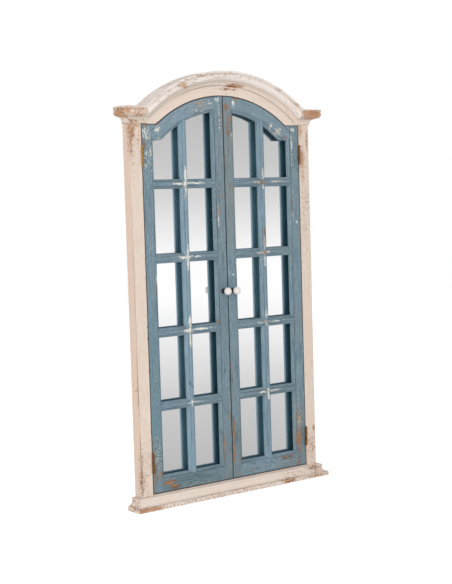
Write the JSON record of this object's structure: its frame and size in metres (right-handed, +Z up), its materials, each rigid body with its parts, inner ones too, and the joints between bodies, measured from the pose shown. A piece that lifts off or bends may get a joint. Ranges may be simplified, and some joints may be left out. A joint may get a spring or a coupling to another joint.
{
  "type": "wall mirror with lattice doors",
  "caption": "Tall arched wall mirror behind a pair of hinged lattice doors with ball knobs, in a painted wooden frame with a moulded cornice, arched crown and plinth.",
  "frame": {"origin": "midway between the two round hanging holes, on the wall plane", "axes": "+X to the right seen from the front, +Y into the wall, +Z up; the mirror faces -Y"},
  "size_m": [0.639, 0.0583, 1.1061],
  "materials": {
    "frame_paint": "cream paint on softwood, matte, chipped to the bare wood",
    "door_paint": "grey-blue paint on softwood, matte, streaked and rubbed",
    "mirror": "silvered float glass",
    "back_panel": "brown hardboard, smooth side out",
    "hinge_brass": "aged brass, dull",
    "knob_ceramic": "white glaze, glossy",
    "knob_ferrule": "blackened, satin",
    "steel": "bright zinc plated",
    "magnet": "dull grey sintered disc"
  },
  "bodies": {
    "frame": {"post_left": "frame_paint", "post_right": "frame_paint", "arch_header": "frame_paint", "frame_bottom_rail": "frame_paint", "plinth_front": "frame_paint", "plinth_return_left": "frame_paint", "plinth_return_right": "frame_paint", "crown_arch": "frame_paint", "cornice_left": "frame_paint", "cornice_right": "frame_paint", "cornice_return_left": "frame_paint", "cornice_return_right": "frame_paint", "mirror_glass": "mirror", "back_panel": "back_panel", "stop_left": "frame_paint", "stop_right": "frame_paint", "stop_arch": "frame_paint", "stop_bottom": "frame_paint", "panel_clips": "steel", "panel_clip_screws": "steel", "hanger_plates": "steel", "hanger_screws": "steel", "left_frame_hinge_leaves": "hinge_brass", "right_frame_hinge_leaves": "hinge_brass", "hinge_pins": "hinge_brass", "frame_hinge_screws": "hinge_brass", "catch_magnets": "magnet"},
    "left_door": {"left_hinge_stile": "door_paint", "left_meeting_stile": "door_paint", "left_bottom_rail": "door_paint", "left_arch_rail": "door_paint", "left_muntin": "door_paint", "left_cross_bar_1": "door_paint", "left_cross_bar_2": "door_paint", "left_cross_bar_3": "door_paint", "left_cross_bar_4": "door_paint", "left_upper_hinge_leaf": "hinge_brass", "left_lower_hinge_leaf": "hinge_brass", "left_hinge_screws": "hinge_brass", "left_knob": "knob_ceramic", "left_knob_stem": "knob_ferrule", "left_knob_screw": "steel", "left_strike": "steel"},
    "right_door": {"right_hinge_stile": "door_paint", "right_meeting_stile": "door_paint", "right_bottom_rail": "door_paint", "right_arch_rail": "door_paint", "right_muntin": "door_paint", "right_cross_bar_1": "door_paint", "right_cross_bar_2": "door_paint", "right_cross_bar_3": "door_paint", "right_cross_bar_4": "door_paint", "right_upper_hinge_leaf": "hinge_brass", "right_lower_hinge_leaf": "hinge_brass", "right_hinge_screws": "hinge_brass", "right_knob": "knob_ceramic", "right_knob_stem": "knob_ferrule", "right_knob_screw": "steel", "right_strike": "steel"}
  },
  "joints": [
    {"name": "left_door_hinge", "type": "hinge", "parent": "frame", "child": "left_door", "pos_m": [-0.25675, -0.0322, -0.422], "axis": [0, 0, -1], "range_deg": [0, 120]},
    {"name": "right_door_hinge", "type": "hinge", "parent": "frame", "child": "right_door", "pos_m": [0.25675, -0.0322, -0.422], "axis": [0, 0, 1], "range_deg": [0, 120]}
  ]
}
